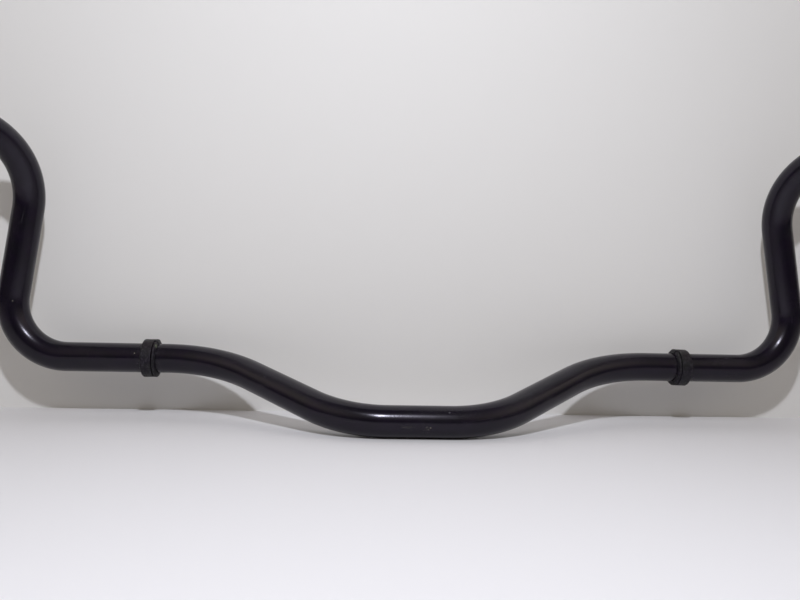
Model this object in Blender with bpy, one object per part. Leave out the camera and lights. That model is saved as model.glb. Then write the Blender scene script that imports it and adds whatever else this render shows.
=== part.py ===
"""Front sway bar (anti-roll bar) of a road vehicle, in metres, +Z up.

A round spring-steel bar is bent into two arms, two straight bushing seats and a centre
section that drops forward and down to clear what lies behind it. Each arm kicks forward
and outward, turns up again and ends in a pressed flat eye for an end link. Beside each
bushing seat two half shells are crimped round the bar as a collar, which stops the bar
sliding sideways.

The origin is the middle of the torsion axis, the common centreline of both seats.
+X runs along that axis, +Y points rearward and +Z runs up the arms.
"""

from math import ceil, cos, pi, radians, sin, tan

import bmesh
import bpy
from mathutils import Matrix, Vector

# Bar
BAR_DIAMETER = 0.032
BAR_SIDES = 24
BEND_STEP = radians(9)

# Corners of the bar's centreline, right half, before the bends round them off
CENTRE_HALF_LENGTH = 0.0735
CENTRE_FORWARD = 0.105
CENTRE_DOWN = 0.05
SHOULDER_X = 0.2165
ARM_FOOT_X = 0.448
ARM_KNEE_X = 0.418
ARM_KNEE_Z = 0.2215
KICK_LENGTH = 0.106
KICK_TILT = radians(75)
KICK_FORWARD = radians(60)

# Centreline bend radii, from the middle outward
CENTRE_BEND_RADIUS = 0.12
SHOULDER_BEND_RADIUS = 0.155
FOOT_BEND_RADIUS = 0.0595
KNEE_BEND_RADIUS = 0.0745
KICK_BEND_RADIUS = 0.054

# Pressed eye at the end of each arm
NECK_START = 0.042
NECK_LENGTH = 0.038
NECK_STEPS = 6
EYE_THICKNESS = 0.01
EYE_FROM_NECK = 0.026
EYE_END_RADIUS = 0.0225
EYE_HOLE_DIAMETER = 0.0125
EYE_HOLE_SIDES = 24
EYE_ARC_STEPS = 14
TRIM_MARGIN = 0.02

# Crimped collars
COLLAR_LEFT_X = -0.289
COLLAR_RIGHT_X = 0.31
COLLAR_WIDTH = 0.0163
COLLAR_OUTER_RADIUS = 0.021
COLLAR_CHAMFER_RUN = 0.0012
COLLAR_CHAMFER_DROP = 0.0026
COLLAR_CLEARANCE = 0.00035
COLLAR_LAP = radians(70)
COLLAR_TIP_GAP = radians(3.6)
COLLAR_SEAM_GAP = 0.0008
COLLAR_SEAM_OFFSET = 0.0046
COLLAR_STEP = radians(10)

MERGE = 0.00001
HALF_TURN = pi
QUARTER_TURN = pi / 2


def clear_scene():
    for obj in list(bpy.data.objects):
        bpy.data.objects.remove(obj)


def make_material(name, colour, roughness, metallic=0.0):
    material = bpy.data.materials.new(name)
    material.use_nodes = True
    shader = material.node_tree.nodes["Principled BSDF"]
    shader.inputs["Base Color"].default_value = (*colour, 1.0)
    shader.inputs["Roughness"].default_value = roughness
    shader.inputs["Metallic"].default_value = metallic
    return material


def add_object(name, bm, material=None):
    """A smooth-shaded object made from a bmesh, with its faces turned outward."""
    bmesh.ops.recalc_face_normals(bm, faces=bm.faces[:])
    mesh = bpy.data.meshes.new(name)
    bm.to_mesh(mesh)
    bm.free()
    mesh.shade_smooth()
    mesh.set_sharp_from_angle(angle=radians(30))
    if material:
        mesh.materials.append(material)
    obj = bpy.data.objects.new(name, mesh)
    bpy.context.scene.collection.objects.link(obj)
    return obj


def kick_direction():
    """Tilted from the vertical, and swung forward from straight outward."""
    return Vector(
        (
            sin(KICK_TILT) * cos(KICK_FORWARD),
            -sin(KICK_TILT) * sin(KICK_FORWARD),
            cos(KICK_TILT),
        )
    )


def kick_corner():
    return Vector((ARM_KNEE_X, 0, ARM_KNEE_Z)) + KICK_LENGTH * kick_direction()


def eye_centre():
    return kick_corner() + Vector((0, 0, NECK_START + NECK_LENGTH + EYE_FROM_NECK))


def centreline_corners():
    """Corners of the right half, from the middle of the bar to the flat's far end."""
    return [
        Vector((0, -CENTRE_FORWARD, -CENTRE_DOWN)),
        Vector((CENTRE_HALF_LENGTH, -CENTRE_FORWARD, -CENTRE_DOWN)),
        Vector((SHOULDER_X, 0, 0)),
        Vector((ARM_FOOT_X, 0, 0)),
        Vector((ARM_KNEE_X, 0, ARM_KNEE_Z)),
        kick_corner(),
        kick_corner() + Vector((0, 0, NECK_START)),
    ]


def rounded_centreline():
    """Points and tangents of the centreline, with an arc at each corner."""
    corners = centreline_corners()
    radii = [
        CENTRE_BEND_RADIUS,
        SHOULDER_BEND_RADIUS,
        FOOT_BEND_RADIUS,
        KNEE_BEND_RADIUS,
        KICK_BEND_RADIUS,
    ]
    stations = [(corners[0], (corners[1] - corners[0]).normalized())]
    for before, corner, after, radius in zip(
        corners, corners[1:], corners[2:], radii
    ):
        inward = (corner - before).normalized()
        outward = (after - corner).normalized()
        turn = inward.angle(outward)
        side = (outward - inward * inward.dot(outward)).normalized()
        start = corner - inward * radius * tan(turn / 2)
        steps = ceil(turn / BEND_STEP)
        for i in range(steps + 1):
            angle = turn * i / steps
            point = start + inward * radius * sin(angle) + side * radius * (1 - cos(angle))
            stations.append((point, inward * cos(angle) + side * sin(angle)))
    stations.append((corners[-1], (corners[-1] - corners[-2]).normalized()))
    return stations


def flattened_section(thickness):
    """The bar's outline pressed to a thickness at constant perimeter, wide along the first axis."""
    perimeter = pi * BAR_DIAMETER
    end_radius = thickness / 2
    half_flat = (perimeter - pi * thickness) / 4
    quarter_arc = end_radius * QUARTER_TURN
    points = []
    for i in range(BAR_SIDES):
        along = perimeter * i / BAR_SIDES
        quadrant, rest = divmod(along, perimeter / 4)
        if int(quadrant) % 2:
            rest = perimeter / 4 - rest
        if rest < quarter_arc:
            angle = rest / end_radius
            wide = half_flat + end_radius * cos(angle)
            thick = end_radius * sin(angle)
        else:
            wide = half_flat - (rest - quarter_arc)
            thick = end_radius
        wide = -wide if quadrant in (1, 2) else wide
        thick = -thick if quadrant in (2, 3) else thick
        points.append((wide, thick))
    return points


def section_axes(stations):
    """(wide, thick) axes at each station, carried back without twist from the eye, where wide is Y."""
    wide = Vector((0, 1, 0))
    axes = []
    for i in range(len(stations) - 1, -1, -1):
        tangent = stations[i][1]
        if i < len(stations) - 1:
            wide = stations[i + 1][1].rotation_difference(tangent) @ wide
        wide = (wide - tangent * wide.dot(tangent)).normalized()
        axes.append((wide, tangent.cross(wide)))
    return axes[::-1]


def smooth_step(t):
    return t * t * (3 - 2 * t)


def bar_half():
    """Right half of the bar, open at the middle, with its flat still untrimmed."""
    stations = rounded_centreline()
    axes = section_axes(stations)
    bm = bmesh.new()
    rings = []

    def add_ring(point, wide, thick, section):
        rings.append([bm.verts.new(point + wide * a + thick * b) for a, b in section])

    round_section = flattened_section(BAR_DIAMETER)
    for (point, _), (wide, thick) in zip(stations, axes):
        add_ring(point, wide, thick, round_section)
    neck_start = stations[-1][0]
    wide, thick = axes[-1]
    for i in range(1, NECK_STEPS + 1):
        share = i / NECK_STEPS
        pressed = BAR_DIAMETER + (EYE_THICKNESS - BAR_DIAMETER) * smooth_step(share)
        point = neck_start + Vector((0, 0, NECK_LENGTH * share))
        add_ring(point, wide, thick, flattened_section(pressed))
    flat_end = eye_centre() + Vector((0, 0, EYE_END_RADIUS + TRIM_MARGIN / 2))
    add_ring(flat_end, wide, thick, flattened_section(EYE_THICKNESS))
    for ring, following in zip(rings, rings[1:]):
        for j in range(BAR_SIDES):
            k = (j + 1) % BAR_SIDES
            bm.faces.new((ring[j], ring[k], following[k], following[j]))
    bm.faces.new(rings[-1])
    return bm


def hide_cutter(obj):
    obj.hide_render = True
    obj.display_type = "WIRE"


def mirror_across_middle(obj, merge):
    mirror = obj.modifiers.new("mirror_halves", "MIRROR")
    mirror.use_axis = (True, False, False)
    mirror.use_mirror_merge = merge
    mirror.merge_threshold = MERGE


def extruded_outline(outline, x_from, x_to):
    """A closed prism from an outline in Y and Z, extruded along X."""
    bm = bmesh.new()
    face = bm.faces.new([bm.verts.new((x_from, y, z)) for y, z in outline])
    grown = bmesh.ops.extrude_face_region(bm, geom=[face])
    moved = [v for v in grown["geom"] if isinstance(v, bmesh.types.BMVert)]
    bmesh.ops.translate(bm, vec=(x_to - x_from, 0, 0), verts=moved)
    return bm


def trim_outline():
    """Everything beyond the eye's round end, as the trimming die takes it off."""
    eye = eye_centre()
    reach = EYE_END_RADIUS + TRIM_MARGIN
    arc = []
    for i in range(EYE_ARC_STEPS + 1):
        angle = HALF_TURN * i / EYE_ARC_STEPS
        arc.append((eye.y + EYE_END_RADIUS * cos(angle), eye.z + EYE_END_RADIUS * sin(angle)))
    return arc + [
        (eye.y - reach, eye.z),
        (eye.y - reach, eye.z + reach),
        (eye.y + reach, eye.z + reach),
        (eye.y + reach, eye.z),
    ]


def hole_outline():
    eye = eye_centre()
    radius = EYE_HOLE_DIAMETER / 2
    turns = [2 * pi * i / EYE_HOLE_SIDES for i in range(EYE_HOLE_SIDES)]
    return [(eye.y + radius * cos(a), eye.z + radius * sin(a)) for a in turns]


def make_bar(material):
    bar = add_object("stabilizer_bar", bar_half(), material)
    mirror_across_middle(bar, merge=True)
    eye = eye_centre()
    for name, outline in (("eye_trim", trim_outline()), ("eye_punch", hole_outline())):
        prism = extruded_outline(outline, eye.x - BAR_DIAMETER, eye.x + BAR_DIAMETER)
        cutter = add_object(name + "_cutter", prism)
        mirror_across_middle(cutter, merge=False)
        hide_cutter(cutter)
        boolean = bar.modifiers.new(name, "BOOLEAN")
        boolean.operation = "DIFFERENCE"
        boolean.solver = "EXACT"
        boolean.object = cutter
    return bar


def collar_angles():
    """Stations round the upper half, in angles from the front (-Y) up over the top."""
    gap = COLLAR_TIP_GAP / 2
    tip = -COLLAR_LAP + gap
    shoulder = COLLAR_LAP + gap
    breaks = [tip, shoulder, HALF_TURN - shoulder, HALF_TURN - tip]
    angles = [breaks[0]]
    for start, end in zip(breaks, breaks[1:]):
        steps = ceil((end - start) / COLLAR_STEP)
        angles += [start + (end - start) * i / steps for i in range(1, steps + 1)]
    return angles, shoulder


def collar_columns(seam_x):
    """(x, outer radius) across the collar, from its tongue side to its other side."""
    half = COLLAR_WIDTH / 2
    gap = COLLAR_SEAM_GAP / 2
    edge_radius = COLLAR_OUTER_RADIUS - COLLAR_CHAMFER_DROP
    return [
        (-half, edge_radius),
        (-half + COLLAR_CHAMFER_RUN, COLLAR_OUTER_RADIUS),
        (seam_x - gap, COLLAR_OUTER_RADIUS),
        (seam_x + gap, COLLAR_OUTER_RADIUS),
        (half - COLLAR_CHAMFER_RUN, COLLAR_OUTER_RADIUS),
        (half, edge_radius),
    ]


TONGUE_COLUMNS = 2


def collar_half(seam_x):
    """One half shell round the X axis: full width over the top, a tongue up to the seam at each end."""
    angles, shoulder = collar_angles()
    columns = collar_columns(seam_x)
    inner_radius = BAR_DIAMETER / 2 + COLLAR_CLEARANCE
    bm = bmesh.new()
    outer = {}
    inner = {}

    def corner(store, i, j, radius):
        if (i, j) not in store:
            x = columns[j][0]
            place = (x, -radius * cos(angles[i]), radius * sin(angles[i]))
            store[i, j] = bm.verts.new(place)
        return store[i, j]

    cells = set()
    for i, angle in enumerate(angles[:-1]):
        middle = (angle + angles[i + 1]) / 2
        full_width = shoulder < middle < HALF_TURN - shoulder
        for j in range(len(columns) - 1 if full_width else TONGUE_COLUMNS):
            cells.add((i, j))
    for i, j in sorted(cells):
        around = [(i, j), (i + 1, j), (i + 1, j + 1), (i, j + 1)]
        top = [corner(outer, a, b, columns[b][1]) for a, b in around]
        floor = [corner(inner, a, b, inner_radius) for a, b in around]
        bm.faces.new(top)
        bm.faces.new(floor[::-1])
        neighbours = [(i, j - 1), (i + 1, j), (i, j + 1), (i - 1, j)]
        for side, neighbour in enumerate(neighbours):
            if neighbour not in cells:
                following = (side + 1) % 4
                bm.faces.new((top[side], floor[side], floor[following], top[following]))
    return bm


def make_collar(side, centre_x, tongue_side, material):
    """Two halves that lap at the front and back. The lower one, with the narrower tongues, is upturned."""
    upturned = Matrix.Rotation(HALF_TURN, 4, "Y")
    flipped = Matrix.Rotation(HALF_TURN, 4, "Z")
    place = Matrix.Translation((centre_x, 0, 0))
    outboard = flipped if tongue_side > 0 else Matrix.Identity(4)
    for name, turn, seam_x in (
        ("upper", Matrix.Identity(4), COLLAR_SEAM_OFFSET),
        ("lower", upturned, -COLLAR_SEAM_OFFSET),
    ):
        half = add_object(f"{side}_collar_{name}_half", collar_half(seam_x), material)
        half.matrix_world = place @ turn @ outboard


def main():
    clear_scene()
    bar_paint = make_material("bar_paint", (0.016, 0.016, 0.019), 0.34)
    collar_paint = make_material("collar_paint", (0.022, 0.022, 0.024), 0.55)
    make_bar(bar_paint)
    make_collar("left", COLLAR_LEFT_X, -1, collar_paint)
    make_collar("right", COLLAR_RIGHT_X, 1, collar_paint)


main()
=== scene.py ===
"""Looks of the sway bar: finer meshes for the bar and its collars, their paint, and the studio."""

from collections import namedtuple
from math import ceil, cos, pi, radians, sin, sqrt, tan

import bmesh
import bpy
from mathutils import Matrix, Vector, noise


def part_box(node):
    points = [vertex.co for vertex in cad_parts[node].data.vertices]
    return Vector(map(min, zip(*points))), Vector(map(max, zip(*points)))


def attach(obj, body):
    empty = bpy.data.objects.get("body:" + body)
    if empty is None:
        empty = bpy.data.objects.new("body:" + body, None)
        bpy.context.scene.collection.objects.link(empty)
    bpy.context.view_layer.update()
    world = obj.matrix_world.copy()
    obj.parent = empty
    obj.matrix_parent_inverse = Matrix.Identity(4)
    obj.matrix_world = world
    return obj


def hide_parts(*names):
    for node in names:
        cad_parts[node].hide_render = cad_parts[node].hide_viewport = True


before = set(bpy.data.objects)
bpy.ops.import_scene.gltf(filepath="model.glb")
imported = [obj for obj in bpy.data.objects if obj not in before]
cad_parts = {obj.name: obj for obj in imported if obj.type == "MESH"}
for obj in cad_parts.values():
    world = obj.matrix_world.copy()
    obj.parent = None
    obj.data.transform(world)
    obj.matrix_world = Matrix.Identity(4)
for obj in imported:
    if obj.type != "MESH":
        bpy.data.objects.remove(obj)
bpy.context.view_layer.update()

# The bar's driving dimensions, as in the CAD, in metres
BAR_DIAMETER = 0.032
CENTRE_HALF_LENGTH = 0.0735
CENTRE_FORWARD = 0.105
CENTRE_DOWN = 0.05
SHOULDER_X = 0.2165
ARM_FOOT_X = 0.448
ARM_KNEE_X = 0.418
ARM_KNEE_Z = 0.2215
KICK_LENGTH = 0.106
KICK_TILT = radians(75)
KICK_FORWARD = radians(60)
BEND_RADII = [0.12, 0.155, 0.0595, 0.0745, 0.054]
NECK_START = 0.042
NECK_LENGTH = 0.038
EYE_THICKNESS = 0.01
EYE_FROM_NECK = 0.026
EYE_END_RADIUS = 0.0225
EYE_HOLE_DIAMETER = 0.0125

# The fine mesh of the bar
BAR_SIDES = 72
BEND_STEP = radians(2)
RUN_STEP = 0.008
NECK_STEPS = 24
EYE_EDGE_ROUNDING = 0.0012
HOLE_EDGE_ROUNDING = 0.001
ROUNDING_OVERSHOOT = 0.0001
ROUNDING_STEPS = 6
PARTING_LINE_DEPTH = 0.0003
PARTING_LINE_HALF_WIDTH = 0.0002
CUTTER_REACH = 0.02
CUTTER_STEPS = 48
BAR_SHARP_ANGLE = radians(30)

# The collars' dimensions, as in the CAD
COLLAR_LEFT_X = -0.289
COLLAR_RIGHT_X = 0.31
COLLAR_WIDTH = 0.0163
COLLAR_OUTER_RADIUS = 0.021
COLLAR_CHAMFER_RUN = 0.0012
COLLAR_CHAMFER_DROP = 0.0026
COLLAR_CLEARANCE = 0.00035
COLLAR_LAP = radians(70)
COLLAR_TIP_GAP = radians(3.6)
COLLAR_SEAM_GAP = 0.0008
COLLAR_SEAM_OFFSET = 0.0046
RIGHT_COLLAR_LEAN = radians(2)

# The fine mesh of the collars
COLLAR_EDGE_ROUNDING = 0.0006
COLLAR_EDGE_STEPS = 4
COLLAR_CELL = 0.0006
COLLAR_UNEVENNESS = 0.00018
# Waves of the unevenness in a metre along the collar, and on a circle round it
COLLAR_WAVES_ALONG = 150
COLLAR_WAVES_ROUND = 3
COLLAR_BEVEL_SOFTNESS = 0.35
NARROW_TONGUE_PRESSED_IN = 0.0005
COLLAR_SHARP_ANGLE = radians(40)
NOISE_SEED = Vector((3.1, 7.4, 5.2))
NOISE_SEED_START = 2

# The camera, with its angles in radians, and its lens and sensor in millimetres
CAMERA_PLACE = (-0.0630, -0.7914, 0.0600)
CAMERA_YAW = -0.0606
CAMERA_PITCH = 0.0134
CAMERA_ROLL = 0.0225
CAMERA_LENS = 31.5
SENSOR_WIDTH = 36

# The table, the wall behind it and the lamp
TABLE_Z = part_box("stabilizer_bar")[0].z
TABLE_RISE = 0.015
TABLE_CLEARANCE = 0.0001
WALL_Y = 0.0486
STAGE_REACH = 4.0
TABLE_COLOUR = (0.82, 0.815, 0.835, 1)
TABLE_ROUGHNESS = 0.6
WALL_COLOUR = (0.795, 0.785, 0.765, 1)
WALL_ROUGHNESS = 0.8
LAMP_PLACE = (-0.0547, -0.7953, 0.6913)
LAMP_DIAMETER = 0.05
LAMP_POWER = 21.4
LAMP_COLOUR = (0.955, 0.98, 1.06)

# The room's colour by the height of the direction looked in, from level (0) to straight up (1).
# It holds its first colour below the first height.
ROOM_COLOURS = [
    (0.05, (0.05, 0.045, 0.06, 1)),
    (0.55, (1.0, 0.90, 0.74, 1)),
    (0.80, (0.80, 0.74, 0.68, 1)),
    (1.00, (0.22, 0.20, 0.30, 1)),
]
ROOM_STRENGTH = 0.78
# Most of its light comes from the left and right: it is dimmed to a share where the direction's
# sideways part is small, and full where it is large
ROOM_DIM_WITHIN = 0.15
ROOM_FULL_BEYOND = 0.75
ROOM_DIM_SHARE = 0.28
# What the camera itself sees beyond the stage
ROOM_SEEN_COLOUR = (0.62, 0.61, 0.60, 1)

# The bar's paint
PAINT_PURPLE = (0.0056, 0.0030, 0.0092, 1)
PAINT_NEUTRAL = (0.0044, 0.0036, 0.0066, 1)
PAINT_LIGHT = (0.0074, 0.0060, 0.0108, 1)
RUBBED_PAINT = (0.022, 0.021, 0.023, 1)
DUST_FILM = (0.035, 0.032, 0.029, 1)
DUST_SPECK = (0.17, 0.165, 0.15, 1)
PAINT_SPECULAR = 0.35
PAINT_SPECULAR_TINT = (0.93, 0.89, 1.0, 1)
PAINT_ROUGHNESS = (0.195, 0.23)
# Scales along and across the bar, which draw a noise out into lines
DRAWN_LINES_SCALE = (6, 700, 700)
RUB_MARKS_SCALE = (16, 160, 160)
DRAWN_LINES_DEPTH = 0.00003
ORANGE_PEEL_DEPTH = 0.00004
# Rubbed rings on the bar reach this far from the middle of each collar
SCUFF_REACH = 0.016

# The collars' paint
COLLAR_PURPLE = (0.0060, 0.0036, 0.0088, 1)
COLLAR_SLATE = (0.0090, 0.0096, 0.0094, 1)
COLLAR_SCUFFED = (0.046, 0.042, 0.055, 1)
# Painted warm reflection: a lighter brown laid on the collars' upward faces, standing in for the warm
# light their tops catch
COLLAR_PAINTED_TOP_REFLECTION = (0.030, 0.020, 0.017, 1)
COLLAR_SPECULAR = 0.22
COLLAR_ROUGHNESS = (0.34, 0.60)
MOTTLE_DEPTH = 0.0005
GRAIN_DEPTH = 0.00008

# A chip to bare metal on the left collar's inboard side, at an angle up from its front. Its light
# greenish colour is also a painted glint, the light the spot catches from above.
CHIP_GLINT_ANGLE = radians(50)
CHIP_GLINT_LENGTH = 0.0034
CHIP_GLINT_WIDTH = 0.0036
CHIP_GLINT_COLOUR = (0.105, 0.12, 0.082, 1)

# Small marks on the bar: how strongly each kind colours the paint, how much rougher it makes it,
# and how far it stands out, or is pressed in where that is below zero
MarkLook = namedtuple("MarkLook", "strength colour rougher depth")
MARK_LOOKS = {
    "nick": MarkLook(0.6, (0.12, 0.12, 0.125, 1), 0.15, -0.0002),
    "speck": MarkLook(1.0, (0.32, 0.30, 0.23, 1), 0.4, 0.0001),
    "smudge": MarkLook(0.45, (0.035, 0.033, 0.030, 1), 0.2, 0.0),
    "scratch": MarkLook(0.5, (0.05, 0.05, 0.052, 1), 0.1, -0.00005),
}
# Each mark's kind, how far along the bar it is from the middle, the angle round the bar in degrees,
# and its length and width
BAR_MARKS = [
    ("nick", 0.0284, 142, 0.0011, 0.0009),
    ("smudge", -0.0130, 196, 0.0070, 0.0012),
    ("speck", 0.0100, 197, 0.0007, 0.0006),
    ("speck", 0.0062, 194, 0.0004, 0.0004),
    ("speck", 0.0078, 203, 0.0004, 0.0004),
    ("smudge", 0.0070, 201, 0.0034, 0.0024),
    ("speck", -0.5073, 163, 0.0006, 0.0005),
    ("speck", -0.3370, 163, 0.0006, 0.0006),
    ("scratch", 0.1530, 128, 0.0090, 0.0003),
    ("nick", -0.1711, 152, 0.0006, 0.0005),
    ("nick", 0.2410, 96, 0.0008, 0.0007),
    ("scratch", -0.2350, 110, 0.0060, 0.0003),
    ("nick", -0.4480, 58, 0.0009, 0.0008),
    ("smudge", 0.4300, 20, 0.0080, 0.0040),
    ("scratch", 0.5600, 330, 0.0120, 0.0004),
    ("nick", 0.6480, 225, 0.0010, 0.0009),
    ("scratch", -0.6100, 20, 0.0100, 0.0003),
    ("smudge", -0.1200, 10, 0.0120, 0.0050),
    ("nick", 0.0600, 340, 0.0010, 0.0008),
]


# --- Bar mesh ---------------------------------------------------------------

def kick_direction():
    """Tilted from the vertical, and swung forward from straight outward."""
    return Vector(
        (
            sin(KICK_TILT) * cos(KICK_FORWARD),
            -sin(KICK_TILT) * sin(KICK_FORWARD),
            cos(KICK_TILT),
        )
    )


def kick_corner():
    return Vector((ARM_KNEE_X, 0, ARM_KNEE_Z)) + KICK_LENGTH * kick_direction()


def eye_centre():
    return kick_corner() + Vector((0, 0, NECK_START + NECK_LENGTH + EYE_FROM_NECK))


def centreline_corners():
    """Corners of the right half, from the middle of the bar to the start of its neck."""
    return [
        Vector((0, -CENTRE_FORWARD, -CENTRE_DOWN)),
        Vector((CENTRE_HALF_LENGTH, -CENTRE_FORWARD, -CENTRE_DOWN)),
        Vector((SHOULDER_X, 0, 0)),
        Vector((ARM_FOOT_X, 0, 0)),
        Vector((ARM_KNEE_X, 0, ARM_KNEE_Z)),
        kick_corner(),
        kick_corner() + Vector((0, 0, NECK_START)),
    ]


def run_to(stations, end):
    """Evenly spaced stations along a straight run, up to but not including its end."""
    start, tangent = stations[-1]
    steps = ceil((end - start).length / RUN_STEP)
    for i in range(1, steps):
        stations.append((start.lerp(end, i / steps), tangent))


def rounded_centreline():
    """Points and tangents of the right half of the centreline, with an arc at each corner."""
    corners = centreline_corners()
    stations = [(corners[0], (corners[1] - corners[0]).normalized())]
    for before, corner, after, radius in zip(corners, corners[1:], corners[2:], BEND_RADII):
        inward = (corner - before).normalized()
        outward = (after - corner).normalized()
        turn = inward.angle(outward)
        side = (outward - inward * inward.dot(outward)).normalized()
        start = corner - inward * radius * tan(turn / 2)
        run_to(stations, start)
        steps = ceil(turn / BEND_STEP)
        for i in range(steps + 1):
            angle = turn * i / steps
            point = start + inward * radius * sin(angle) + side * radius * (1 - cos(angle))
            stations.append((point, inward * cos(angle) + side * sin(angle)))
    run_to(stations, corners[-1])
    stations.append((corners[-1], stations[-1][1]))
    return stations


def section_axes(stations):
    """(wide, thick) axes at each station, carried back without twist from the eye, where wide is Y."""
    wide = Vector((0, 1, 0))
    axes = []
    for i in range(len(stations) - 1, -1, -1):
        tangent = stations[i][1]
        if i < len(stations) - 1:
            wide = stations[i + 1][1].rotation_difference(tangent) @ wide
        wide = (wide - tangent * wide.dot(tangent)).normalized()
        axes.append((wide, tangent.cross(wide)))
    return axes[::-1]


def flattened_section(thickness):
    """The bar's outline pressed to a thickness at constant perimeter, wide along the first axis."""
    perimeter = pi * BAR_DIAMETER
    end_radius = thickness / 2
    half_flat = (perimeter - pi * thickness) / 4
    quarter_arc = end_radius * pi / 2
    points = []
    for i in range(BAR_SIDES):
        along = perimeter * i / BAR_SIDES
        quadrant, rest = divmod(along, perimeter / 4)
        if int(quadrant) % 2:
            rest = perimeter / 4 - rest
        if rest < quarter_arc:
            angle = rest / end_radius
            wide = half_flat + end_radius * cos(angle)
            thick = end_radius * sin(angle)
        else:
            wide = half_flat - (rest - quarter_arc)
            thick = end_radius
        wide = -wide if quadrant in (1, 2) else wide
        thick = -thick if quadrant in (2, 3) else thick
        points.append((wide, thick))
    return points


def smooth_step(t):
    return t * t * (3 - 2 * t)


def bar_sections():
    """(point, wide axis, thick axis, section) at every ring of the right half."""
    stations = rounded_centreline()
    axes = section_axes(stations)
    round_section = flattened_section(BAR_DIAMETER)
    sections = [
        (point, wide, thick, round_section)
        for (point, _), (wide, thick) in zip(stations, axes)
    ]
    neck_start = stations[-1][0]
    wide, thick = axes[-1]
    for i in range(1, NECK_STEPS + 1):
        share = i / NECK_STEPS
        pressed = BAR_DIAMETER + (EYE_THICKNESS - BAR_DIAMETER) * smooth_step(share)
        point = neck_start + Vector((0, 0, NECK_LENGTH * share))
        sections.append((point, wide, thick, flattened_section(pressed)))
    flat_end = eye_centre() + Vector((0, 0, EYE_END_RADIUS + CUTTER_REACH / 2))
    sections.append((flat_end, wide, thick, flattened_section(EYE_THICKNESS)))
    return sections


def add_object(name, bm):
    """A smooth-shaded object made from a bmesh, with its faces turned outward."""
    bmesh.ops.recalc_face_normals(bm, faces=bm.faces[:])
    mesh = bpy.data.meshes.new(name)
    bm.to_mesh(mesh)
    bm.free()
    mesh.shade_smooth()
    obj = bpy.data.objects.new(name, mesh)
    bpy.context.scene.collection.objects.link(obj)
    return obj


def join_rings(bm, rings):
    """A closed tube through rings of vertices, with a cap at each end."""
    for ring, following in zip(rings, rings[1:]):
        for j in range(len(ring)):
            k = (j + 1) % len(ring)
            bm.faces.new((ring[j], ring[k], following[k], following[j]))
    bm.faces.new(rings[0])
    bm.faces.new(rings[-1])


def whole_bar():
    """Both halves of the bar in one bmesh. Each vertex also knows its place on the straightened bar."""
    bm = bmesh.new()
    straight = bm.verts.layers.float_vector.new("straight")
    half = bar_sections()
    along = [0.0]
    for (before, *_), (after, *_) in zip(half, half[1:]):
        along.append(along[-1] + (after - before).length)
    rings = []
    for side in (-1, 1):
        order = range(len(half) - 1, 0, -1) if side < 0 else range(len(half))
        for i in order:
            point, wide, thick, section = half[i]
            ring = []
            for a, b in section:
                place = point + wide * a + thick * b
                vertex = bm.verts.new((side * place.x, place.y, place.z))
                vertex[straight] = (side * along[i], a, b)
                ring.append(vertex)
            rings.append(ring)
    join_rings(bm, rings)
    return bm


def rounded_wall(radius, rounding, inward):
    """(x, radius) points across the flat: a wall with a fine groove in the middle and rounded edges.

    inward is 1 where the metal is inside the wall, and -1 where it is outside it.
    """
    top = EYE_THICKNESS / 2 + ROUNDING_OVERSHOOT
    points = [(0, radius - inward * PARTING_LINE_DEPTH), (PARTING_LINE_HALF_WIDTH, radius)]
    for i in range(ROUNDING_STEPS + 1):
        angle = pi / 2 * i / ROUNDING_STEPS
        points.append(
            (top - rounding + rounding * sin(angle), radius - inward * rounding * (1 - cos(angle)))
        )
    points.append((top + CUTTER_REACH / 4, radius - inward * rounding))
    mirrored = [(-x, r) for x, r in points[:0:-1]]
    return mirrored + points


def trim_profile():
    """What the trimming die takes off round the end of the eye."""
    wall = rounded_wall(EYE_END_RADIUS, EYE_EDGE_ROUNDING, 1)
    outside = EYE_END_RADIUS + CUTTER_REACH
    return wall + [(wall[-1][0], outside), (wall[0][0], outside)]


def about_eye(side, x, radius, angle):
    """A place at x across the flat from the middle of the eye, turned about the eye's axis."""
    eye = eye_centre()
    return (side * (eye.x + x), eye.y + radius * cos(angle), eye.z + radius * sin(angle))


def trim_cutter(name, side):
    """The die's profile swept half a turn, over the end of the eye."""
    bm = bmesh.new()
    profile = trim_profile()
    rings = []
    for i in range(CUTTER_STEPS + 1):
        angle = pi * i / CUTTER_STEPS
        places = [about_eye(side, x, radius, angle) for x, radius in profile]
        rings.append([bm.verts.new(place) for place in places])
    join_rings(bm, rings)
    return add_object(name, bm)


def hole_cutter(name, side):
    """A spool through the eye, in the shape of its hole."""
    bm = bmesh.new()
    angles = [2 * pi * i / CUTTER_STEPS for i in range(CUTTER_STEPS)]
    rings = []
    for x, radius in rounded_wall(EYE_HOLE_DIAMETER / 2, HOLE_EDGE_ROUNDING, -1):
        places = [about_eye(side, x, radius, angle) for angle in angles]
        rings.append([bm.verts.new(place) for place in places])
    join_rings(bm, rings)
    return add_object(name, bm)


def cut(obj, cutters):
    """Subtracts the cutters and keeps the result as the object's own mesh."""
    for cutter in cutters:
        boolean = obj.modifiers.new(cutter.name, "BOOLEAN")
        boolean.operation = "DIFFERENCE"
        boolean.solver = "EXACT"
        boolean.object = cutter
    graph = bpy.context.evaluated_depsgraph_get()
    result = bpy.data.meshes.new_from_object(obj.evaluated_get(graph), depsgraph=graph)
    obj.modifiers.clear()
    obj.data = result
    for cutter in cutters:
        bpy.data.objects.remove(cutter)


def make_bar(material):
    bar = add_object("painted_bar", whole_bar())
    cutters = []
    for name, side in (("left", -1), ("right", 1)):
        cutters.append(trim_cutter(name + "_trim", side))
        cutters.append(hole_cutter(name + "_hole", side))
    cut(bar, cutters)
    bar.data.shade_smooth()
    bar.data.set_sharp_from_angle(angle=BAR_SHARP_ANGLE)
    bar.data.materials.clear()
    bar.data.materials.append(material)
    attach(bar, "root")
    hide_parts("stabilizer_bar")


# --- Collar mesh ------------------------------------------------------------

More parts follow.
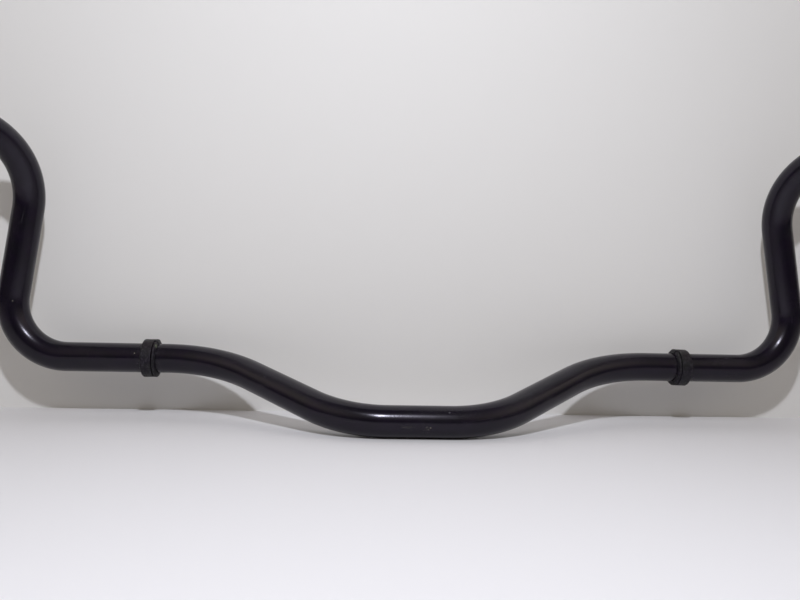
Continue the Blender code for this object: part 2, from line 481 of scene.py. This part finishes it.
def graded(stops, cell, edge):
    """Positions from the first stop to the last, close together beside each stop.

    A stretch that is too short for that gets even steps of half a cell.
    """
    near = [edge * (1 - cos(pi / 2 * i / COLLAR_EDGE_STEPS)) for i in range(COLLAR_EDGE_STEPS + 1)]
    places = []
    for start, end in zip(stops, stops[1:]):
        if end - start < 3 * edge:
            steps = max(1, ceil((end - start) / (cell / 2)))
            places += [start + (end - start) * i / steps for i in range(steps)]
            continue
        steps = ceil((end - start - 2 * edge) / cell)
        inner = [start + edge + (end - start - 2 * edge) * i / steps for i in range(1, steps)]
        places += [start + d for d in near] + inner + [end - d for d in near[:0:-1]]
    places.append(stops[-1])
    return places


def side_bevel(inside):
    """How far the outer surface drops at a distance inside the collar's flat sides."""
    share = inside / COLLAR_CHAMFER_RUN
    soft = COLLAR_BEVEL_SOFTNESS
    if share > 1 + soft:
        return 0.0
    if share > 1 - soft:
        return COLLAR_CHAMFER_DROP * (1 + soft - share) ** 2 / (4 * soft)
    return COLLAR_CHAMFER_DROP * (1 - share)


def edge_rounding(inside):
    """How far the outer surface drops at a distance inside a cut edge."""
    left = COLLAR_EDGE_ROUNDING - max(0.0, min(inside, COLLAR_EDGE_ROUNDING))
    return COLLAR_EDGE_ROUNDING - sqrt(COLLAR_EDGE_ROUNDING**2 - left**2)


def collar_half_mesh(seam_x, seed):
    """One crimped half shell round the X axis, with rounded edges and the press's slight unevenness."""
    radius = COLLAR_OUTER_RADIUS
    inner_radius = BAR_DIAMETER / 2 + COLLAR_CLEARANCE
    half = COLLAR_WIDTH / 2
    tongue_edge = seam_x - COLLAR_SEAM_GAP / 2
    shoulder_edge = seam_x + COLLAR_SEAM_GAP / 2
    gap = COLLAR_TIP_GAP / 2
    tip = radius * (gap - COLLAR_LAP)
    shoulder = radius * (gap + COLLAR_LAP)
    top = radius * pi
    rows = graded([tip, shoulder, top - shoulder, top - tip], 2 * COLLAR_CELL, COLLAR_EDGE_ROUNDING)
    columns = graded([-half, tongue_edge, shoulder_edge, half], COLLAR_CELL, COLLAR_EDGE_ROUNDING)

    def to_cut_edge(x, arc):
        """Distance inside the half's outline, from its nearest cut edge."""
        from_body = max(shoulder - arc, arc - (top - shoulder))
        ends = min(arc - tip, top - tip - arc)
        if from_body > 0:
            return min(ends, tongue_edge - x)
        if x > tongue_edge:
            return -from_body
        return min(ends, sqrt((tongue_edge - x) ** 2 + from_body**2))

    def outer_radius(x, arc, wave):
        drop = side_bevel(half - abs(x)) + edge_rounding(to_cut_edge(x, arc))
        if seam_x < 0:
            along_tongue = max(0.0, shoulder - arc, arc - (top - shoulder)) / (shoulder - tip)
            drop += NARROW_TONGUE_PRESSED_IN * smooth_step(along_tongue)
        return max(radius - drop + COLLAR_UNEVENNESS * (wave - 1), inner_radius + COLLAR_CLEARANCE)

    bm = bmesh.new()
    stores = {"outer": {}, "inner": {}}

    def corner_vertex(kind, i, j):
        store = stores[kind]
        if (i, j) not in store:
            arc, x = rows[i], columns[j]
            angle = arc / radius
            round_place = cos(angle) * COLLAR_WAVES_ROUND, sin(angle) * COLLAR_WAVES_ROUND
            wave = noise.noise(Vector((x * COLLAR_WAVES_ALONG, *round_place)) + seed)
            r = inner_radius if kind == "inner" else outer_radius(x, arc, wave)
            store[i, j] = bm.verts.new((x, -r * cos(angle), r * sin(angle)))
        return store[i, j]

    cells = set()
    for i, arc in enumerate(rows[:-1]):
        middle = (arc + rows[i + 1]) / 2
        full_width = shoulder < middle < top - shoulder
        for j, x in enumerate(columns[:-1]):
            if full_width or (x + columns[j + 1]) / 2 < tongue_edge:
                cells.add((i, j))
    for i, j in sorted(cells):
        around = [(i, j), (i + 1, j), (i + 1, j + 1), (i, j + 1)]
        outer = [corner_vertex("outer", a, b) for a, b in around]
        inner = [corner_vertex("inner", a, b) for a, b in around]
        bm.faces.new(outer)
        bm.faces.new(inner[::-1])
        for side, neighbour in enumerate([(i, j - 1), (i + 1, j), (i, j + 1), (i - 1, j)]):
            if neighbour not in cells:
                following = (side + 1) % 4
                bm.faces.new((outer[side], inner[side], inner[following], outer[following]))
    return bm


def make_collar(side, centre_x, outward, lean, material):
    """Two halves crimped round the bar, with the upper one's wide tongues on the outward side.

    The lower one, with the narrower tongues, is upturned.
    """
    upturned = Matrix.Rotation(pi, 4, "Y")
    end_for_end = Matrix.Rotation(pi, 4, "Z")
    place = Matrix.Translation((centre_x, 0, 0)) @ Matrix.Rotation(lean, 4, "Y")
    facing = end_for_end if outward > 0 else Matrix.Identity(4)
    for number, (name, turn, seam_x) in enumerate(
        (
            ("upper", Matrix.Identity(4), COLLAR_SEAM_OFFSET),
            ("lower", upturned, -COLLAR_SEAM_OFFSET),
        )
    ):
        seed = NOISE_SEED * (centre_x + NOISE_SEED_START + number)
        half = add_object(f"{side}_collar_{name}_painted_half", collar_half_mesh(seam_x, seed))
        half.data.transform(place @ turn @ facing)
        half.data.set_sharp_from_angle(angle=COLLAR_SHARP_ANGLE)
        half.data.materials.append(material)
        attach(half, "root")
        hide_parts(f"{side}_collar_{name}_half")


# --- Materials --------------------------------------------------------------

class Tree:
    """Short calls to add and join the nodes of a material or a world."""

    def __init__(self, owner):
        owner.use_nodes = True
        self.owner = owner
        self.tree = owner.node_tree

    def node(self, kind, settings=None, **inputs):
        made = self.tree.nodes.new("ShaderNode" + kind)
        for key, value in (settings or {}).items():
            setattr(made, key, value)
        for key, value in inputs.items():
            self.feed(made.inputs[key.replace("_", " ")], value)
        return made

    def feed(self, socket, value):
        """Joins a node's output to the socket, or sets its value."""
        if isinstance(value, bpy.types.NodeSocket):
            self.tree.links.new(value, socket)
        else:
            socket.default_value = value

    def math(self, operation, first, second=0.0):
        made = self.node("Math", {"operation": operation})
        self.feed(made.inputs[0], first)
        self.feed(made.inputs[1], second)
        return made.outputs[0]

    def stretched(self, vector, scale):
        made = self.node("VectorMath", {"operation": "MULTIPLY"})
        self.feed(made.inputs[0], vector)
        self.feed(made.inputs[1], scale)
        return made.outputs[0]

    def noise(self, vector, scale, detail=2.0, roughness=0.5):
        made = self.node("TexNoise", Vector=vector, Scale=scale, Detail=detail, Roughness=roughness)
        return made.outputs["Fac"]

    def ramp(self, value, low, high, to_low=0.0, to_high=1.0):
        """The value taken from low..high to to_low..to_high, smoothly and held at the ends."""
        made = self.node("MapRange", {"interpolation_type": "SMOOTHSTEP"})
        self.feed(made.inputs["Value"], value)
        for key, number in (
            ("From Min", low),
            ("From Max", high),
            ("To Min", to_low),
            ("To Max", to_high),
        ):
            self.feed(made.inputs[key], number)
        return made.outputs["Result"]

    def blend(self, share, first, second):
        """Colour: first where share is 0, second where it is 1."""
        made = self.node("Mix", {"data_type": "RGBA"}, Factor=share, A=first, B=second)
        return made.outputs["Result"]

    def layer(self, colour, where, over, strength):
        """The colour with another one laid over it where the mask is 1."""
        return self.blend(self.math("MULTIPLY", where, strength), colour, over)

    def raised(self, value, where, by):
        """The value with an amount added where the mask is 1."""
        return self.math("ADD", value, self.math("MULTIPLY", where, by))

    def mixed_shader(self, share, first, second):
        """Shader: first where share is 0, second where it is 1."""
        made = self.node("MixShader")
        for socket, value in zip(made.inputs, (share, first, second)):
            self.feed(socket, value)
        return made.outputs["Shader"]

    def upward(self):
        """1 where the surface faces straight up, 0 where it is upright or faces down."""
        normal = self.node("NewGeometry").outputs["Normal"]
        height = self.node("SeparateXYZ", Vector=normal).outputs["Z"]
        return self.ramp(height, low=0.2, high=0.95)

    def jittered(self, vector, scale, reach):
        """The place moved about by a fine noise, which makes the edges of marks ragged."""
        drift = self.node("TexNoise", Vector=vector, Scale=scale, Detail=2.0).outputs["Color"]
        centred = self.node("VectorMath", {"operation": "SUBTRACT"})
        self.feed(centred.inputs[0], drift)
        self.feed(centred.inputs[1], (0.5, 0.5, 0.5))
        moved = self.node("VectorMath", {"operation": "ADD"})
        self.feed(moved.inputs[0], vector)
        self.feed(moved.inputs[1], self.stretched(centred.outputs[0], (reach, reach, reach)))
        return moved.outputs[0]

    def spot(self, vector, place, length, width):
        """1 inside a mark and 0 outside it."""
        shape = Vector((1 / length, 1 / width, 1 / width))
        reach = self.node("VectorMath", {"operation": "DISTANCE"})
        self.feed(reach.inputs[0], self.stretched(vector, shape))
        self.feed(reach.inputs[1], Vector(place) * shape)
        return self.ramp(reach.outputs["Value"], low=1.0, high=0.5)

    def bump(self, height, distance, below=None):
        """A normal tilted by a height of this distance, on top of the one below."""
        made = self.node("Bump", Height=height, Distance=distance)
        if below is not None:
            self.feed(made.inputs["Normal"], below)
        return made.outputs["Normal"]

    def paint(self, **inputs):
        """Feeds the material's own shader."""
        shader = self.tree.nodes["Principled BSDF"]
        for key, value in inputs.items():
            self.feed(shader.inputs[key.replace("_", " ")], value)


def seat_place(x):
    """How far along the straightened bar the seat's centreline has the place x."""
    stations = rounded_centreline()
    along = 0.0
    for (before, _), (after, _) in zip(stations, stations[1:]):
        if after.x > abs(x):
            break
        along += (after - before).length
    along += abs(x) - before.x
    return along if x > 0 else -along


def bar_paint():
    """Semi-gloss black paint: drawn steel and orange peel under it, dust and handling marks on it."""
    t = Tree(bpy.data.materials.new("bar_paint_finish"))
    place = t.node("Attribute", {"attribute_name": "straight"}).outputs["Vector"]
    upward = t.upward()
    broad = t.noise(place, scale=14, detail=3)
    tint = t.noise(place, scale=75, detail=3, roughness=0.6)
    peel = t.noise(place, scale=420, detail=2, roughness=0.4)
    drawn = t.noise(t.stretched(place, DRAWN_LINES_SCALE), scale=1, detail=3, roughness=0.6)

    # Dust lies in specks and in a film, more of it on top
    dust = t.noise(place, scale=2600, detail=1, roughness=0.3)
    dust_area = t.noise(place, scale=30, detail=3, roughness=0.6)
    dusty = t.raised(dust_area, upward, by=0.12)
    specks = t.math("MULTIPLY", t.ramp(dust, low=0.68, high=0.75), t.ramp(dusty, low=0.52, high=0.72))
    film = t.noise(place, scale=90, detail=4, roughness=0.7)
    film = t.math("MULTIPLY", upward, t.ramp(film, low=0.3, high=0.75))

    # Handling rubs the paint here and there, and the collars rub a ring round it
    rub = t.noise(t.stretched(place, RUB_MARKS_SCALE), scale=1, detail=4, roughness=0.65)
    rubbed = t.ramp(rub, low=0.60, high=0.75)
    along = t.node("SeparateXYZ", Vector=place).outputs["X"]
    for collar_x in (COLLAR_LEFT_X, COLLAR_RIGHT_X):
        distance = t.math("ABSOLUTE", t.math("SUBTRACT", along, seat_place(collar_x)))
        ring = t.ramp(distance, low=SCUFF_REACH, high=COLLAR_WIDTH / 2)
        rubbed = t.math("MAXIMUM", rubbed, t.math("MULTIPLY", ring, t.ramp(rub, low=0.35, high=0.6)))

    colour = t.blend(t.ramp(tint, low=0.35, high=0.65), PAINT_PURPLE, PAINT_NEUTRAL)
    colour = t.layer(colour, t.ramp(broad, low=0.35, high=0.7), PAINT_LIGHT, strength=0.4)
    colour = t.layer(colour, film, DUST_FILM, strength=0.12)
    colour = t.layer(colour, rubbed, RUBBED_PAINT, strength=0.3)
    colour = t.layer(colour, specks, DUST_SPECK, strength=0.5)
    rough = t.ramp(broad, 0.25, 0.75, *PAINT_ROUGHNESS)
    rough = t.math("ADD", rough, t.ramp(drawn, low=0.3, high=0.7, to_low=-0.02, to_high=0.03))
    rough = t.raised(rough, rubbed, by=0.10)
    rough = t.raised(rough, specks, by=0.3)
    normal = t.bump(drawn, DRAWN_LINES_DEPTH)
    normal = t.bump(peel, ORANGE_PEEL_DEPTH, below=normal)

    jagged = t.jittered(place, scale=900, reach=0.0009)
    radius = BAR_DIAMETER / 2
    for kind, mark_along, angle, length, width in BAR_MARKS:
        look = MARK_LOOKS[kind]
        centre = (mark_along, radius * cos(radians(angle)), radius * sin(radians(angle)))
        spot = t.spot(jagged, centre, length, width)
        colour = t.layer(colour, spot, look.colour, look.strength)
        rough = t.raised(rough, spot, look.rougher)
        if look.depth:
            normal = t.bump(spot, look.depth, below=normal)
    t.paint(Base_Color=colour, Roughness=rough, Normal=normal)
    t.paint(Specular_IOR_Level=PAINT_SPECULAR, Specular_Tint=PAINT_SPECULAR_TINT)
    return t.owner


def collar_paint():
    """Matte black paint on rough stamped steel, with a painted warm reflection on top, and one chip on
    the left collar whose light colour is also a painted glint.
    """
    t = Tree(bpy.data.materials.new("collar_paint_finish"))
    place = t.node("TexCoord").outputs["Object"]
    upward = t.upward()
    broad = t.noise(place, scale=130, detail=3, roughness=0.6)
    mottle = t.noise(place, scale=520, detail=3, roughness=0.7)
    grain = t.noise(place, scale=1500, detail=3, roughness=0.6)
    # Painted warm reflection on the upward faces, broken up by the mottle
    painted_top_reflection = t.math("MULTIPLY", upward, t.ramp(mottle, low=0.38, high=0.62))
    colour = t.blend(t.ramp(broad, low=0.35, high=0.68), COLLAR_PURPLE, COLLAR_SLATE)
    colour = t.layer(colour, t.ramp(mottle, low=0.50, high=0.64), COLLAR_SCUFFED, strength=0.75)
    colour = t.layer(colour, painted_top_reflection, COLLAR_PAINTED_TOP_REFLECTION, strength=0.5)
    rough = t.ramp(mottle, 0.35, 0.65, *COLLAR_ROUGHNESS)
    normal = t.bump(mottle, MOTTLE_DEPTH)
    normal = t.bump(grain, GRAIN_DEPTH, below=normal)

    jagged = t.jittered(place, scale=600, reach=0.0034)
    radius = COLLAR_OUTER_RADIUS - COLLAR_CHAMFER_DROP
    centre = (
        COLLAR_LEFT_X + COLLAR_WIDTH / 2 + CHIP_GLINT_LENGTH / 4,
        -radius * cos(CHIP_GLINT_ANGLE),
        radius * sin(CHIP_GLINT_ANGLE),
    )
    # A bare-metal chip whose light colour is partly a painted glint
    chip_and_glint = t.spot(jagged, centre, CHIP_GLINT_LENGTH, CHIP_GLINT_WIDTH)
    colour = t.blend(chip_and_glint, colour, CHIP_GLINT_COLOUR)
    rough = t.raised(rough, chip_and_glint, by=-0.1)
    t.paint(Base_Color=colour, Roughness=rough, Normal=normal)
    t.paint(Specular_IOR_Level=COLLAR_SPECULAR)
    return t.owner


# --- Studio -----------------------------------------------------------------

def stage_card(name, corners, colour, roughness):
    """A flat piece of the stage. Gives back its material's tree."""
    bm = bmesh.new()
    bm.faces.new([bm.verts.new(corner) for corner in corners])
    mesh = bpy.data.meshes.new(name)
    bm.to_mesh(mesh)
    bm.free()
    obj = bpy.data.objects.new(name, mesh)
    bpy.context.scene.collection.objects.link(obj)
    t = Tree(bpy.data.materials.new(name + "_finish"))
    t.paint(Base_Color=colour, Roughness=roughness)
    mesh.materials.append(t.owner)
    return t


def open_from_behind(t):
    """Lets a backdrop be looked through from its back."""
    nodes = t.tree.nodes
    behind = t.node("NewGeometry").outputs["Backfacing"]
    solid = nodes["Principled BSDF"].outputs["BSDF"]
    clear = t.node("BsdfTransparent").outputs["BSDF"]
    t.feed(nodes["Material Output"].inputs["Surface"], t.mixed_shader(behind, solid, clear))


def table_height(y):
    """The table rises a little toward the wall, and carries the bar's forward part."""
    return TABLE_Z + (y + CENTRE_FORWARD) * TABLE_RISE - TABLE_CLEARANCE


def make_stage():
    """A table, and a wall standing on it behind the bar."""
    near, far = table_height(-STAGE_REACH), table_height(STAGE_REACH)
    table = [
        (-STAGE_REACH, -STAGE_REACH, near),
        (STAGE_REACH, -STAGE_REACH, near),
        (STAGE_REACH, STAGE_REACH, far),
        (-STAGE_REACH, STAGE_REACH, far),
    ]
    stage_card("table", table, TABLE_COLOUR, TABLE_ROUGHNESS)
    foot = table_height(WALL_Y)
    wall = [
        (-STAGE_REACH, WALL_Y, foot),
        (STAGE_REACH, WALL_Y, foot),
        (STAGE_REACH, WALL_Y, STAGE_REACH),
        (-STAGE_REACH, WALL_Y, STAGE_REACH),
    ]
    open_from_behind(stage_card("wall", wall, WALL_COLOUR, WALL_ROUGHNESS))


def make_lamp():
    """The lamp above the camera, which throws the bar's shadows on the wall and the table."""
    data = bpy.data.lights.new("key", "POINT")
    data.shadow_soft_size = LAMP_DIAMETER / 2
    data.energy = LAMP_POWER
    data.color = LAMP_COLOUR
    lamp = bpy.data.objects.new("key", data)
    bpy.context.scene.collection.objects.link(lamp)
    lamp.location = LAMP_PLACE


def make_room():
    """Soft light from all round, which the bar reflects. The camera itself sees a plain pale colour."""
    world = bpy.data.worlds.new("studio")
    bpy.context.scene.world = world
    t = Tree(world)
    direction = t.node("TexCoord").outputs["Generated"]
    split = t.node("SeparateXYZ", Vector=direction)

    colour = t.node("ValToRGB", Fac=split.outputs["Z"])
    colour.color_ramp.interpolation = "EASE"
    stops = colour.color_ramp.elements
    for height, _ in ROOM_COLOURS[1:-1]:
        stops.new(height)
    for stop, (height, stop_colour) in zip(stops, ROOM_COLOURS):
        stop.position = height
        stop.color = stop_colour

    sideways = t.math("ABSOLUTE", split.outputs["X"])
    dimmed = ROOM_STRENGTH * ROOM_DIM_SHARE
    strength = t.ramp(sideways, ROOM_DIM_WITHIN, ROOM_FULL_BEYOND, to_low=dimmed, to_high=ROOM_STRENGTH)
    light = t.tree.nodes["Background"]
    t.feed(light.inputs["Color"], colour.outputs["Color"])
    t.feed(light.inputs["Strength"], strength)

    by_camera = t.node("LightPath").outputs["Is Camera Ray"]
    seen = t.node("Background", Color=ROOM_SEEN_COLOUR).outputs["Background"]
    mixed = t.mixed_shader(by_camera, light.outputs["Background"], seen)
    t.feed(t.tree.nodes["World Output"].inputs["Surface"], mixed)


def make_camera():
    data = bpy.data.cameras.new("camera")
    data.lens = CAMERA_LENS
    data.sensor_width = SENSOR_WIDTH
    camera = bpy.data.objects.new("camera", data)
    bpy.context.scene.collection.objects.link(camera)
    turn = Matrix.Rotation(CAMERA_YAW, 4, "Z") @ Matrix.Rotation(pi / 2 + CAMERA_PITCH, 4, "X")
    turn = turn @ Matrix.Rotation(CAMERA_ROLL, 4, "Z")
    camera.matrix_world = Matrix.Translation(CAMERA_PLACE) @ turn
    bpy.context.scene.camera = camera


def main():
    bpy.context.scene.view_settings.view_transform = "Standard"
    make_camera()
    make_stage()
    make_lamp()
    make_room()
    make_bar(bar_paint())
    paint = collar_paint()
    make_collar("left", COLLAR_LEFT_X, -1, 0, paint)
    make_collar("right", COLLAR_RIGHT_X, 1, RIGHT_COLLAR_LEAN, paint)


main()
